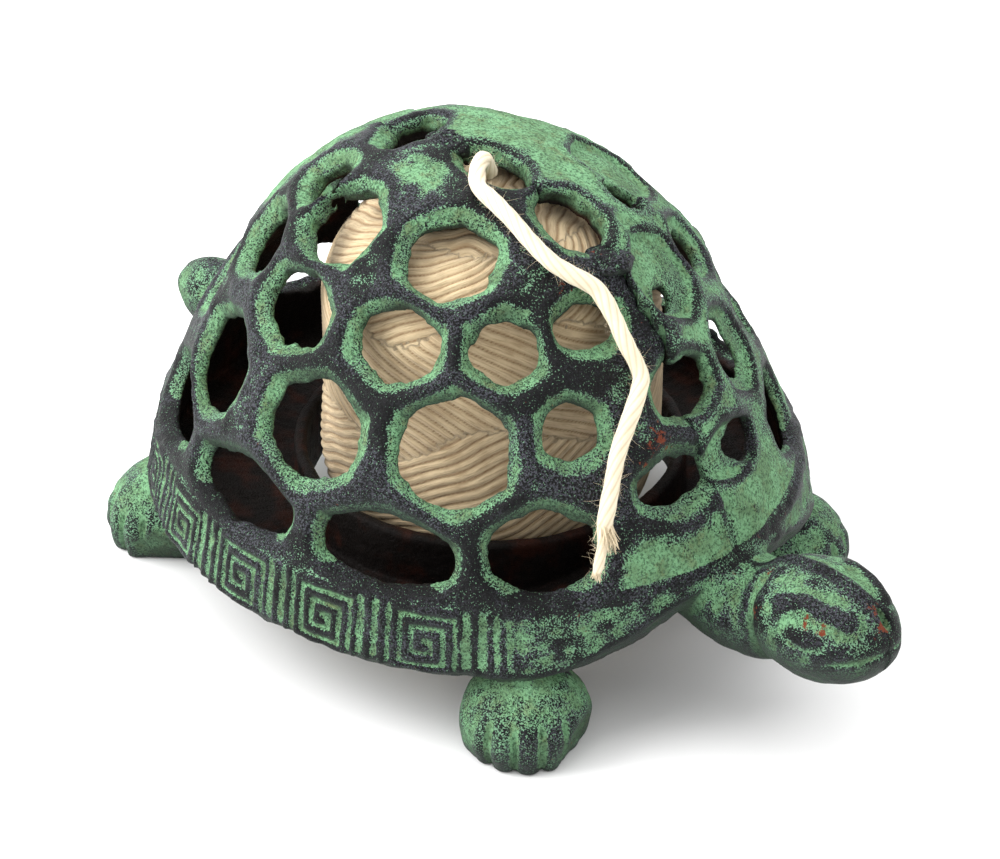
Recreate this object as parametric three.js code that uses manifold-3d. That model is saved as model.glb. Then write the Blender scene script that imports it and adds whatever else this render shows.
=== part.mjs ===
// A cast-iron turtle with a hollow, openwork shell of hexagonal cells, standing over a ball of cotton
// twine whose loose end comes out of the hole in the crown and lies on the shell.
//
// The iron is two half castings, right and left, that meet on the median plane and are held by tacks on
// the seam. Each half is given here as its shell, rim band, belly floor, collar, head, legs and tail.
// The belly has a round opening inside the collar, through which the ball goes in from below.
//
// Millimetres. +X is towards the head, +Y is the turtle's left and +Z is up; the feet stand on z = 0.
// Every place below is measured from the dome's centre; the whole turtle is moved along X at the end, so
// that the origin is under the middle of its box.

import * as THREE from "three";
import { mergeVertices } from "three/addons/utils/BufferGeometryUtils.js";
import Module from "manifold-3d";

const wasm = await Module();
wasm.setup();

// ---- driving dimensions -----------------------------------------------------------------------------

const SNOUT_X = 106; // tip of the snout
const TAIL_X = -87.5; // tip of the tail

const DOME_HALF_LENGTH = 68;
const DOME_HALF_WIDTH = 60.4;
const DOME_FOOT = 32.4; // height of the line where the dome stands on the rim band
const DOME_HEIGHT = 61.4; // from that line to the crown
const DOME_POWER = 2.8; // the dome's height falls as radius to this power
const DOME_BUNCHING = 0.8; // under 1 sets the dome's rings closer together near its foot
const WALL = 4; // thickness of the cast wall

const RIM_FOOT = 16.2; // height of the rim band's lower edge
const RIM_FLARE = 1.04; // how much wider the lower edge is than the upper one
const RIM_LIP = 2; // height of the rounded-off lower edge
const RIM_LIP_SETBACK = 1.5; // how far the lower edge draws in
const FLOOR_THICKNESS = 3.6;
const FLOOR_CLEARANCE = 0.9; // between the floor's rim and the band

const COLLAR_X = 3; // centre of the belly opening, of the ball and of the crown hole
const COLLAR_INNER = 36.8;
const COLLAR_OUTER = 39.4;
const COLLAR_TOP = 31;

const BALL_RADIUS = 34.8;
const BALL_TOP = 88.2;
const BALL_SHOULDER = 66; // where its straight side ends above
const BALL_HIP = 33; // and below
const BALL_LIFT = 0.3; // the wound ball stands this far off the z = 0 plane

const TWINE_DIAMETER = 3.3;

const HEAD = { x: 89, z: 27.9, halfLength: 17, halfWidth: 12.3, halfHeight: 10.9 };
const NECK = { x: 70, z: 23, halfLength: 19, halfWidth: 10.5, halfHeight: 9.5 };
const TAIL = { x: -75, z: 31, halfLength: 12.5, halfWidth: 8, halfHeight: 8.5 };

const LEG_RADIUS = 14;
const LEG_TOES = 5;
const LEG_WAIST = 5; // height of a leg's widest ring
const LEG_SHOULDER = 2; // how far the uncut barrel would reach into the band
const TOE_RADIUS = 3.4;
const TOE_TALLNESS = 1.4; // a toe's height over its width
const TOE_STEP = 24; // degrees from toe to toe
const FORELEG = { x: 50.6, y: 40.7, heading: 42 }; // heading: degrees outwards from straight ahead
const HINDLEG = { x: -52, y: 38.5, heading: 110 };

const TACK_SINK = 0.4; // how far a tack's middle lies below the dome
const CROWN_TACK = { x: -8, half: [4.6, 3.8, 2] };
const FRONT_TACK = { x: 34, half: [4.4, 4.6, 2.2] };

const GAP = 0.3; // between neighbouring solids
const HALF_SEAM = GAP / 2;

// ---- cells of the shell -----------------------------------------------------------------------------
// Each row runs round the dome from the head to the tail. A cell's place is its bearing from straight
// ahead, in degrees, and its height; its size is half its width round the dome and half its height up it.
// "other" is the size on the left half, where flash has left some openings smaller.

const CELLS = [
  // lowest row, over the rim band
  { bearing: 9, z: 49, half: [7.4, 3.4], other: [5, 4.2], otherBearing: 12 },
  { bearing: 35, z: 42, half: [9.6, 7.2] },
  { bearing: 65, z: 39.8, half: [12.8, 6.2] },
  { bearing: 101, z: 39, half: [12.8, 5.6] },
  { bearing: 135, z: 40, half: [11.5, 6] },
  { bearing: 163, z: 42, half: [8, 6.5] },
  // second row
  { bearing: 27, z: 62, half: [5.2, 5], other: [4.2, 6], otherBearing: 24 },
  { bearing: 52.3, z: 58.5, half: [10.2, 9.8] },
  { bearing: 87, z: 56, half: [10.2, 9.2] },
  { bearing: 124, z: 54.5, half: [9.8, 8.8] },
  { bearing: 153, z: 59, half: [7.5, 7.5] },
  // third row
  { bearing: 16.5, z: 78, half: [6, 4], other: [4, 2.6], otherBearing: 12 },
  { bearing: 40, z: 75.6, half: [6, 5.8], other: [5, 4.5] },
  { bearing: 70, z: 74.4, half: [8, 6.4] },
  { bearing: 106.5, z: 72.6, half: [8.6, 6.6] },
  { bearing: 139.5, z: 74.5, half: [7.2, 6.4] },
  // ring round the crown
  { bearing: 59, z: 87.6, half: [8.2, 7.8], other: [4, 4.5], otherBearing: 36 },
  { bearing: 113, z: 86.2, half: [7.8, 7.6] },
  { bearing: 143, z: 86.8, half: [6, 5.2] },
];

// Cells that the seam cuts in two: place along X, and half sizes across and along the seam.
const SEAM_CELLS = [
  { x: 51, half: [6.4, 5.6] },
  { x: 24.6, half: [5, 7.2] },
  { x: 4.4, half: [3.6, 7.8] }, // crown hole, where the twine comes out
  { x: -17.5, half: [6.6, 4.6] },
  { x: -50, half: [7, 6] },
];

const CELL_SIDES = 6;
const CELL_SEGMENTS = 12;
const CELL_ROUNDING = 0.55; // 0 is a straight-sided hexagon, 1 is an oval
const CELL_TAPER = 0.32; // how much wider a cell is at the outside than at its lip
const CELL_SWELL = 1.06; // makes up for what the rounding takes off a cell's corners
const CELL_DEPTH = 9; // length of the cutter to each side of the wall

// ---- fineness of the curved surfaces ------------------------------------------------------------------

const DOME_RINGS = 8;
const DOME_SEGMENTS = 36;
const LIMB_SEGMENTS = 16;
const TACK_SEGMENTS = 14;
const LIMB_RINGS = 10;
const TOE_SEGMENTS = 8;
const TOE_RINGS = 6;
const BALL_SEGMENTS = 28;
const BALL_RINGS = 7; // in each domed end
const TWINE_SIDES = 8;
const LOOSE_END_STEPS = 56;
const MERGE_DISTANCE = 1e-4;

// ---- solids -----------------------------------------------------------------------------------------

function solid(geometry) {
  const bare = geometry.clone();
  bare.deleteAttribute("normal");
  bare.deleteAttribute("uv");
  const merged = mergeVertices(bare, MERGE_DISTANCE);
  const { array } = merged.attributes.position;
  const made = new wasm.Manifold(
    new wasm.Mesh({ numProp: 3, vertProperties: array, triVerts: new Uint32Array(merged.index.array) }),
  );
  if (made.volume() <= 0) throw new Error("a solid is inside out");
  return made;
}

function geometryOf(manifold) {
  const { numProp, numVert, vertProperties, triVerts } = manifold.getMesh();
  const points = new Float32Array(numVert * 3);
  for (let i = 0; i < numVert; i++) {
    points.set(vertProperties.subarray(i * numProp, i * numProp + 3), i * 3);
  }
  return new THREE.BufferGeometry()
    .setAttribute("position", new THREE.BufferAttribute(points, 3))
    .setIndex(new THREE.BufferAttribute(triVerts, 1));
}

// A box from one corner to the other.
function box([x0, y0, z0], [x1, y1, z1]) {
  const shape = new THREE.BoxGeometry(x1 - x0, y1 - y0, z1 - z0);
  return solid(shape.translate((x0 + x1) / 2, (y0 + y1) / 2, (z0 + z1) / 2));
}

function ellipsoid([x, y, z], [rx, ry, rz], segments, rings) {
  return solid(new THREE.SphereGeometry(1, segments, rings).scale(rx, ry, rz).translate(x, y, z));
}

// Turns a profile of [radius, height] points about the Z axis.
function turned(profile, segments) {
  const points = profile.map(([radius, height]) => new THREE.Vector2(radius, height));
  return new THREE.LatheGeometry(points, segments).rotateX(Math.PI / 2);
}

const domeZ = (radius, height = DOME_HEIGHT) => DOME_FOOT + height * (1 - radius ** DOME_POWER);

// The dome's outer form made smaller by inset, as a solid. Away from inset 0 it has a short skirt, which
// takes its flat base a little under the dome's foot.
function dome(inset) {
  const height = DOME_HEIGHT - inset;
  const base = DOME_FOOT - Math.abs(inset);
  const profile = inset === 0 ? [[0, base]] : [[0, base], [1, base]];
  for (let ring = 0; ring <= DOME_RINGS; ring++) {
    const radius = Math.cos((ring / DOME_RINGS) * (Math.PI / 2)) ** DOME_BUNCHING;
    profile.push([ring === DOME_RINGS ? 0 : radius, domeZ(radius, height)]);
  }
  const shape = turned(profile, DOME_SEGMENTS);
  return solid(shape.scale(DOME_HALF_LENGTH - inset, DOME_HALF_WIDTH - inset, 1));
}

// An oval ring or disc with the dome's plan, from a profile of [distance outside the dome's foot, height].
function ovalTurned(profile) {
  const ratio = DOME_HALF_LENGTH / DOME_HALF_WIDTH;
  const points = profile.map(([out, height]) => [out === null ? 0 : DOME_HALF_WIDTH + out, height]);
  return solid(turned(points, DOME_SEGMENTS).scale(ratio, 1, 1));
}

const RIM_FLARE_OUT = DOME_HALF_WIDTH * (RIM_FLARE - 1);

// The band and everything inside it, grown by GAP: what the head, tail and legs stop against.
function bodyEnvelope() {
  const block = ovalTurned([
    [null, RIM_FOOT - GAP],
    [RIM_FLARE_OUT + GAP, RIM_FOOT - GAP],
    [RIM_FLARE_OUT + GAP, RIM_FOOT + RIM_LIP],
    [GAP, DOME_FOOT],
    [null, DOME_FOOT],
  ]);
  return block.add(dome(-GAP));
}

// ---- one cell's cutter ------------------------------------------------------------------------------

// The outward frame on the dome at a plan point: a matrix whose X runs round, Y up and Z out of the dome.
function frameOnDome(x, y) {
  const radius = Math.hypot(x / DOME_HALF_LENGTH, y / DOME_HALF_WIDTH);
  const fall = DOME_HEIGHT * DOME_POWER * radius ** (DOME_POWER - 2);
  const out = new THREE.Vector3(
    (fall * x) / DOME_HALF_LENGTH ** 2,
    (fall * y) / DOME_HALF_WIDTH ** 2,
    1,
  ).normalize();
  const round = new THREE.Vector3(-out.y, out.x, 0).normalize();
  const up = new THREE.Vector3().crossVectors(out, round);
  const centre = new THREE.Vector3(x, y, domeZ(radius));
  return new THREE.Matrix4().makeBasis(round, up, out).setPosition(centre);
}

// A flared six-sided cutter with rounded corners.
function cellCutter(frame, [halfWidth, halfHeight]) {
  const shape = new THREE.CylinderGeometry(1 + CELL_TAPER, 1, CELL_DEPTH * 2, CELL_SEGMENTS);
  shape.rotateX(Math.PI / 2);
  const { position } = shape.attributes;
  const side = (2 * Math.PI) / CELL_SIDES;
  for (let i = 0; i < position.count; i++) {
    const angle = Math.atan2(position.getY(i), position.getX(i));
    const turn = ((angle % side) + side) % side;
    const flat = Math.cos(side / 2) / Math.cos(turn - side / 2);
    const stretch = (flat + (1 - flat) * CELL_ROUNDING) * CELL_SWELL;
    position.setX(i, position.getX(i) * stretch);
    position.setY(i, position.getY(i) * stretch);
  }
  shape.rotateZ(side / 2).scale(halfWidth, halfHeight, 1);
  return solid(shape.applyMatrix4(frame));
}

// The plan point of the dome at a bearing and a height.
function planPoint(bearing, z) {
  const radius = (1 - (z - DOME_FOOT) / DOME_HEIGHT) ** (1 / DOME_POWER);
  const angle = THREE.MathUtils.degToRad(bearing);
  const reach = radius / Math.hypot(Math.cos(angle) / DOME_HALF_LENGTH, Math.sin(angle) / DOME_HALF_WIDTH);
  return [reach * Math.cos(angle), reach * Math.sin(angle)];
}

// ---- parts of a half casting; side is -1 for the right half and +1 for the left -----------------------

const FAR = 200;
const halfSpace = (side) =>
  side < 0 ? box([-FAR, -FAR, 0], [FAR, -HALF_SEAM, FAR]) : box([-FAR, HALF_SEAM, 0], [FAR, FAR, FAR]);

function shell(side) {
  let wall = dome(0).subtract(dome(WALL)).intersect(halfSpace(side));
  wall = wall.intersect(box([-FAR, -FAR, DOME_FOOT + HALF_SEAM], [FAR, FAR, FAR]));
  for (const cell of CELLS) {
    const left = side > 0;
    const bearing = left ? (cell.otherBearing ?? cell.bearing) : cell.bearing;
    const [x, y] = planPoint(bearing, cell.z);
    const half = left ? (cell.other ?? cell.half) : cell.half;
    wall = wall.subtract(cellCutter(frameOnDome(x, side * y), half));
  }
  for (const cell of SEAM_CELLS) {
    wall = wall.subtract(cellCutter(frameOnDome(cell.x, 0), cell.half));
  }
  return wall;
}

function rimBand(side) {
  const ring = ovalTurned([
    [RIM_FLARE_OUT - WALL, RIM_FOOT],
    [RIM_FLARE_OUT - RIM_LIP_SETBACK, RIM_FOOT],
    [RIM_FLARE_OUT, RIM_FOOT + RIM_LIP],
    [0, DOME_FOOT - HALF_SEAM],
    [-WALL, DOME_FOOT - HALF_SEAM],
    [RIM_FLARE_OUT - WALL, RIM_FOOT],
  ]);
  return ring.intersect(halfSpace(side));
}

function bellyFloor(side) {
  const edge = RIM_FLARE_OUT - WALL - FLOOR_CLEARANCE;
  const disc = ovalTurned([
    [null, RIM_FOOT],
    [edge, RIM_FOOT],
    [edge, RIM_FOOT + FLOOR_THICKNESS],
    [null, RIM_FOOT + FLOOR_THICKNESS],
  ]);
  const opening = new THREE.CylinderGeometry(COLLAR_OUTER + GAP, COLLAR_OUTER + GAP, FAR, DOME_SEGMENTS);
  opening.rotateX(Math.PI / 2).translate(COLLAR_X, 0, 0);
  return disc.subtract(solid(opening)).intersect(halfSpace(side));
}

function collar(side) {
  const profile = [
    [COLLAR_INNER, RIM_FOOT],
    [COLLAR_OUTER, RIM_FOOT],
    [COLLAR_OUTER, COLLAR_TOP],
    [COLLAR_INNER, COLLAR_TOP],
    [COLLAR_INNER, RIM_FOOT],
  ];
  const ring = solid(turned(profile, DOME_SEGMENTS).translate(COLLAR_X, 0, 0));
  return ring.intersect(halfSpace(side));
}

const limb = ({ x, z, halfLength, halfWidth, halfHeight }) =>
  ellipsoid([x, 0, z], [halfLength, halfWidth, halfHeight], LIMB_SEGMENTS, LIMB_RINGS);

function head(side) {
  return limb(HEAD).add(limb(NECK)).subtract(bodyEnvelope()).intersect(halfSpace(side));
}

function tail(side) {
  return limb(TAIL).subtract(bodyEnvelope()).intersect(halfSpace(side));
}

// A stub leg: a barrel with a flat sole and a row of toes at the foot of its outer side.
function leg(side, { x, y, heading }) {
  const half = [LEG_RADIUS, LEG_RADIUS, RIM_FOOT + LEG_SHOULDER];
  let made = ellipsoid([x, side * y, LEG_WAIST], half, LIMB_SEGMENTS, LIMB_RINGS);
  for (let toe = 0; toe < LEG_TOES; toe++) {
    const turn = heading + (toe - (LEG_TOES - 1) / 2) * TOE_STEP;
    const angle = THREE.MathUtils.degToRad(turn);
    const reach = LEG_RADIUS - TOE_RADIUS / 2;
    const place = [x + reach * Math.cos(angle), side * (y + reach * Math.sin(angle)), TOE_RADIUS];
    const toeHalf = [TOE_RADIUS, TOE_RADIUS, TOE_RADIUS * TOE_TALLNESS];
    made = made.add(ellipsoid(place, toeHalf, TOE_SEGMENTS, TOE_RINGS));
  }
  return made.intersect(box([-FAR, -FAR, 0], [FAR, FAR, RIM_FOOT - GAP])).intersect(halfSpace(side));
}

// A lump of weld metal that bridges the seam.
function seamTack({ x, half }) {
  const z = domeZ(Math.abs(x) / DOME_HALF_LENGTH) - TACK_SINK;
  return ellipsoid([x, 0, z], half, TACK_SEGMENTS, LIMB_RINGS).subtract(dome(-GAP));
}

// ---- twine ------------------------------------------------------------------------------------------

// The wound ball: a straight-sided barrel with domed ends.
function twineBall() {
  const profile = [];
  for (let i = 0; i <= BALL_RINGS; i++) {
    const angle = (i / BALL_RINGS) * (Math.PI / 2);
    const drop = (BALL_HIP - BALL_LIFT) * Math.cos(angle);
    profile.push([i === 0 ? 0 : BALL_RADIUS * Math.sin(angle), BALL_HIP - drop]);
  }
  for (let i = 0; i <= BALL_RINGS; i++) {
    const angle = (i / BALL_RINGS) * (Math.PI / 2);
    const rise = (BALL_TOP - BALL_SHOULDER) * Math.sin(angle);
    profile.push([i === BALL_RINGS ? 0 : BALL_RADIUS * Math.cos(angle), BALL_SHOULDER + rise]);
  }
  return turned(profile, BALL_SEGMENTS).translate(COLLAR_X, 0, 0);
}

// The loose end, from the top of the ball, out of the crown hole and down the right front of the shell
// to its cut end. Points on the shell are plan points, with the twine resting on the dome there.
const LOOSE_END_START = [
  [2.4, 0.6, BALL_TOP + 2.4],
  [2.6, -0.4, 92.4],
  [3.4, -2.4, 95.2],
];
const LOOSE_END_ON_SHELL = [
  [6.2, -6.4],
  [9.8, -10],
  [14.6, -11.8],
  [20.2, -12.6],
  [25.6, -13],
  [30.6, -12.8],
  [34.6, -11],
  [38.4, -8.8],
  [42.2, -8.3],
  [46.2, -8.9],
  [50, -9.4],
  [52.2, -12],
  [53.6, -15.6],
  [54.8, -20],
  [56, -23.6],
  [57.2, -26.6],
  [58.2, -28.8],
  [58.9, -30.4],
];

function looseEnd() {
  const rest = TWINE_DIAMETER / 2 + GAP;
  const points = LOOSE_END_START.map((point) => new THREE.Vector3(...point));
  for (const [x, y] of LOOSE_END_ON_SHELL) {
    const frame = frameOnDome(x, y);
    const out = new THREE.Vector3().setFromMatrixColumn(frame, 2);
    points.push(new THREE.Vector3().setFromMatrixPosition(frame).addScaledVector(out, rest));
  }
  const section = new THREE.Shape(
    new THREE.EllipseCurve(0, 0, TWINE_DIAMETER / 2, TWINE_DIAMETER / 2)
      .getPoints(TWINE_SIDES)
      .slice(0, TWINE_SIDES),
  );
  return new THREE.ExtrudeGeometry(section, {
    extrudePath: new THREE.CatmullRomCurve3(points),
    steps: LOOSE_END_STEPS,
    bevelEnabled: false,
  });
}

// ---- assembly ---------------------------------------------------------------------------------------

const iron = { color: 0x4f7f5c, roughness: 0.85, metalness: 0.3 };
const darkIron = { color: 0x3d3733, roughness: 0.9, metalness: 0.3 };
const cotton = { color: 0xeadfc4, roughness: 0.95, metalness: 0 };

const turtle = new THREE.Group();
turtle.position.x = -(SNOUT_X + TAIL_X) / 2;

function addMesh(name, shape, finish) {
  const geometry = shape.isBufferGeometry ? shape : geometryOf(shape);
  const mesh = new THREE.Mesh(geometry, new THREE.MeshStandardMaterial(finish));
  mesh.name = name;
  turtle.add(mesh);
}

for (const [name, side] of [["right", -1], ["left", 1]]) {
  addMesh(`${name}_shell`, shell(side), iron);
  addMesh(`${name}_rim_band`, rimBand(side), iron);
  addMesh(`${name}_belly_floor`, bellyFloor(side), darkIron);
  addMesh(`${name}_collar`, collar(side), darkIron);
  addMesh(`${name}_head`, head(side), iron);
  addMesh(`${name}_foreleg`, leg(side, FORELEG), iron);
  addMesh(`${name}_hindleg`, leg(side, HINDLEG), iron);
  addMesh(`${name}_tail`, tail(side), iron);
}
addMesh("crown_seam_tack", seamTack(CROWN_TACK), darkIron);
addMesh("front_seam_tack", seamTack(FRONT_TACK), darkIron);
addMesh("twine_ball", twineBall(), cotton);
addMesh("twine_loose_end", looseEnd(), cotton);

export default turtle;
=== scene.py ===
"""A cast-iron turtle with a hollow, openwork shell, standing over a ball of cotton twine whose loose end
comes out of the hole in its crown.

Shapes are worked out in millimetres about the dome's centre, as the CAD part is, and go to the row frame
in metres at the end. +X is towards the head, +Y is the turtle's left and +Z is up. The iron of each half
casting is carved as a field of signed distances (negative inside the metal) and then skinned.
"""

import math

import bpy
import numpy as np
import openvdb
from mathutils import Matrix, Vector


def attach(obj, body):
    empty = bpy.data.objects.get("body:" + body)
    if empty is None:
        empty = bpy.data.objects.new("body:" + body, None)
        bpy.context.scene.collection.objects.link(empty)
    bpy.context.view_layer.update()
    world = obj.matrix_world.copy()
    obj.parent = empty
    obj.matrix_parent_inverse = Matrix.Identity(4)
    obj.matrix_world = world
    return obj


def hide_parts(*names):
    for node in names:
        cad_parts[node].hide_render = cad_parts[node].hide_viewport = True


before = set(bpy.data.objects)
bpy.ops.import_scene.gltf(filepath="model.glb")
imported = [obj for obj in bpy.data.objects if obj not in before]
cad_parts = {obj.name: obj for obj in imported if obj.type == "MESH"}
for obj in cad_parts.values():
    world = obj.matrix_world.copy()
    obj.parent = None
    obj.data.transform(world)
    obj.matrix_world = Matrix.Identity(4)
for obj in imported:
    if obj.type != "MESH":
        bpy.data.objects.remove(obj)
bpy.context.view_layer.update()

MM = 0.001
SEED = 7

# ---- driving dimensions, as in the CAD part -------------------------------------------------------------

DOME_X = -9.25  # the dome's centre in the row frame
DOME_HALF_LENGTH = 68
DOME_HALF_WIDTH = 60.4
DOME_FOOT = 32.4
DOME_HEIGHT = 61.4
DOME_POWER = 2.8
WALL = 4
MEAN_RADIUS = 64  # the dome's plan is measured as if it were a circle of this radius

RIM_FOOT = 16.2
RIM_FLARE = 1.04
RIM_LIP = 2
FLOOR_TOP = 19.8

COLLAR_X = 3
COLLAR_INNER = 36.8
COLLAR_OUTER = 39.4
COLLAR_TOP = 31

BALL_RADIUS = 34.8
BALL_TOP = 88.2
BALL_SHOULDER = 66
BALL_LIFT = 0.3

TWINE_DIAMETER = 3.3

CAMERA_DISTANCE = 850
CAMERA_AZIMUTH = 43.17  # degrees from the turtle's right side towards its head
CAMERA_HEIGHT = 33.54  # degrees above the table
CAMERA_TARGET = (5.63, 0, 32.9)
CAMERA_LENS = 153


def smoothstep(value, low, high):
    t = np.clip((value - low) / (high - low), 0, 1)
    return t * t * (3 - 2 * t)


def in_row(points):
    """Points about the dome's centre in millimetres, as points in the row frame in metres."""
    return (np.asarray(points, float) + (DOME_X, 0, 0)) * MM


def dome_height(x, y):
    radius = math.hypot(x / DOME_HALF_LENGTH, y / DOME_HALF_WIDTH)
    return DOME_FOOT + DOME_HEIGHT * (1 - radius**DOME_POWER)


def dome_frame(x, y):
    """Centre, and the directions round, up and out of the dome at a plan point."""
    radius = math.hypot(x / DOME_HALF_LENGTH, y / DOME_HALF_WIDTH)
    fall = DOME_HEIGHT * DOME_POWER * radius ** (DOME_POWER - 2)
    out = Vector((fall * x / DOME_HALF_LENGTH**2, fall * y / DOME_HALF_WIDTH**2, 1))
    out.normalize()
    around = Vector((-out.y, out.x, 0))
    around = around.normalized() if around.length > 1e-6 else Vector((0, 1, 0))
    return Vector((x, y, dome_height(x, y))), around, out.cross(around), out


# ---- camera ---------------------------------------------------------------------------------------------


def make_camera():
    azimuth, height = math.radians(CAMERA_AZIMUTH), math.radians(CAMERA_HEIGHT)
    level = math.cos(height)
    away = Vector((level * math.sin(azimuth), -level * math.cos(azimuth), math.sin(height)))
    target = Vector(in_row(CAMERA_TARGET))
    camera = bpy.data.objects.new("camera", bpy.data.cameras.new("camera"))
    camera.data.lens = CAMERA_LENS
    camera.data.clip_end = 20
    camera.location = target + away * CAMERA_DISTANCE * MM
    camera.rotation_euler = (-away).to_track_quat("-Z", "Y").to_euler()
    bpy.context.scene.collection.objects.link(camera)
    bpy.context.scene.camera = camera


make_camera()

# ---- meshes ---------------------------------------------------------------------------------------------


def add_mesh(name, points, faces, body, attributes=None):
    """A smooth mesh from points in millimetres about the dome's centre, riding on a body."""
    mesh = bpy.data.meshes.new(name)
    mesh.from_pydata(in_row(points).tolist(), [], faces)
    mesh.validate()
    mesh.shade_smooth()
    for key, values in (attributes or {}).items():
        layer = mesh.attributes.new(key, "FLOAT", "POINT")
        layer.data.foreach_set("value", np.asarray(values, np.float32))
    made = bpy.data.objects.new(name, mesh)
    bpy.context.scene.collection.objects.link(made)
    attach(made, body)
    return made


def ring_faces(rings, sides):
    """Faces of a tube whose points are rings of the same number of sides, with its ends closed."""
    faces = []
    for ring in range(rings - 1):
        a, b = ring * sides, (ring + 1) * sides
        faces += [(a + i, a + (i + 1) % sides, b + (i + 1) % sides, b + i) for i in range(sides)]
    faces.append(tuple(reversed(range(sides))))
    faces.append(tuple(range((rings - 1) * sides, rings * sides)))
    return faces


def smooth_path(points, per_span):
    """Points along the Catmull-Rom curve through the given ones."""
    p = np.asarray(points, float)
    p = np.vstack([2 * p[0] - p[1], p, 2 * p[-1] - p[-2]])
    t = np.linspace(0, 1, per_span, endpoint=False)[:, None]
    spans = [
        0.5 * (2 * b + (c - a) * t + (2 * a - 5 * b + 4 * c - d) * t**2 + (3 * b - a - 3 * c + d) * t**3)
        for a, b, c, d in zip(p, p[1:], p[2:], p[3:])
    ]
    return np.vstack(spans + [p[-2:-1]])


def even_steps(path, step):
    """The path again, with points a fixed distance apart."""
    along = np.r_[0, np.cumsum(np.linalg.norm(np.diff(path, axis=0), axis=1))]
    places = np.linspace(0, along[-1], max(2, round(along[-1] / step) + 1))
    return np.stack([np.interp(places, along, path[:, k]) for k in range(3)], axis=1)


def path_sides(path):
    """Two directions across the path at each point, carried along it without twisting."""
    ahead = np.gradient(path, axis=0)
    ahead /= np.linalg.norm(ahead, axis=1)[:, None]
    first = np.cross(ahead[0], (0.3, 0.9, 0.2))
    across = [first / np.linalg.norm(first)]
    for direction in ahead[1:]:
        side = across[-1] - direction * (across[-1] @ direction)
        across.append(side / np.linalg.norm(side))
    across = np.array(across)
    return across, np.cross(ahead, across)


# ---- the loose end of the twine -------------------------------------------------------------------------

# The route from the top of the ball, out of the crown hole and down the right front of the shell. Points
# on the shell are plan points, with the twine resting on the dome there.
LOOSE_END_START = [(2.4, 0.6, BALL_TOP + 2.4), (2.6, -0.4, 92.4), (3.4, -2.4, 95.2)]
LOOSE_END_ON_SHELL = [
    (5.6, -6.2),
    (9.4, -9.8),
    (14.2, -10.8),
    (19.3, -11.5),
    (24.4, -12.1),
    (29.3, -11.8),
    (33, -10.2),
    (36.8, -7.9),
    (40.7, -7.8),
    (44.2, -8.3),
    (48.4, -8.4),
    (49.9, -10.6),
    (51.1, -14.2),
    (52.3, -18.4),
    (53.9, -21.9),
    (55.4, -25.3),
    (56.4, -27),
    (57.1, -29),
]
LOOSE_END_REST = TWINE_DIAMETER / 2 + 0.3  # from the dome to the twine's middle
PLIES = 7
PLY_PITCH = 26  # length of one whole twist
PLY_DEPTH = 0.1  # of the twine's radius
END_LENGTH = 8.5  # below the frayed ply the twine goes on thinner
END_THINNER = 0.36  # share of its radius lost there
TWINE_SIDES = 64
TWINE_STEP = 0.3
FUZZ_FIBRES = 1100
FUZZ_RADIUS = 0.03


def loose_end_route():
    points = [Vector(p) for p in LOOSE_END_START]
    for x, y in LOOSE_END_ON_SHELL:
        centre, _, _, out = dome_frame(x, y)
        points.append(centre + out * LOOSE_END_REST)
    return even_steps(smooth_path(points, 12), TWINE_STEP)


def twisted_twine(path, radius, rng):
    """Points of a round twine with twisted plies, a little uneven, drawn in at its cut end."""
    across, over = path_sides(path)
    along = np.arange(len(path)) * TWINE_STEP
    turn = np.linspace(0, 2 * math.pi, TWINE_SIDES, endpoint=False)
    lobes = np.abs(np.cos((turn[None, :] * PLIES - 2 * math.pi * PLIES * along[:, None] / PLY_PITCH) / 2))
    uneven = np.interp(along, np.linspace(0, along[-1], 40), rng.uniform(-0.06, 0.05, 40))
    left = np.clip((along[-1] - along) / 1.6, 0, 1)[:, None]
    thin = 1 - END_THINNER * (1 - smoothstep(along[-1] - along, END_LENGTH - 2, END_LENGTH + 2))[:, None]
    drawn_in = 0.55 + 0.45 * left**0.5
    reach = radius * (1 - PLY_DEPTH + PLY_DEPTH * lobes**0.7 + uneven[:, None]) * drawn_in * thin
    points = (
        path[:, None]
        + across[:, None] * (np.cos(turn)[:, None] * reach[..., None])
        + over[:, None] * (np.sin(turn)[:, None] * reach[..., None])
    )
    return points.reshape(-1, 3), lobes.reshape(-1)


def thin_fibres(starts, directions, lengths, radius, rng, curl, steps=7, sides=4):
    """Closed, tapering, curling threads, as points and faces of one mesh."""
    points, faces = [], []
    for start, direction, length in zip(starts, directions, lengths):
        bend = rng.normal(0, curl, 3)
        t = np.linspace(0, 1, steps)[:, None]
        line = start + direction * t * length + bend * (t**2) * length
        across, over = path_sides(line)
        turn = np.linspace(0, 2 * math.pi, sides, endpoint=False)
        reach = radius * (1 - 0.7 * t)
        ring = across[:, None] * np.cos(turn)[:, None] + over[:, None] * np.sin(turn)[:, None]
        base = len(points) * steps * sides
        points.append((line[:, None] + ring * reach[:, None]).reshape(-1, 3))
        faces += [tuple(base + i for i in face) for face in ring_faces(steps, sides)]
    return np.vstack(points), faces


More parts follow.
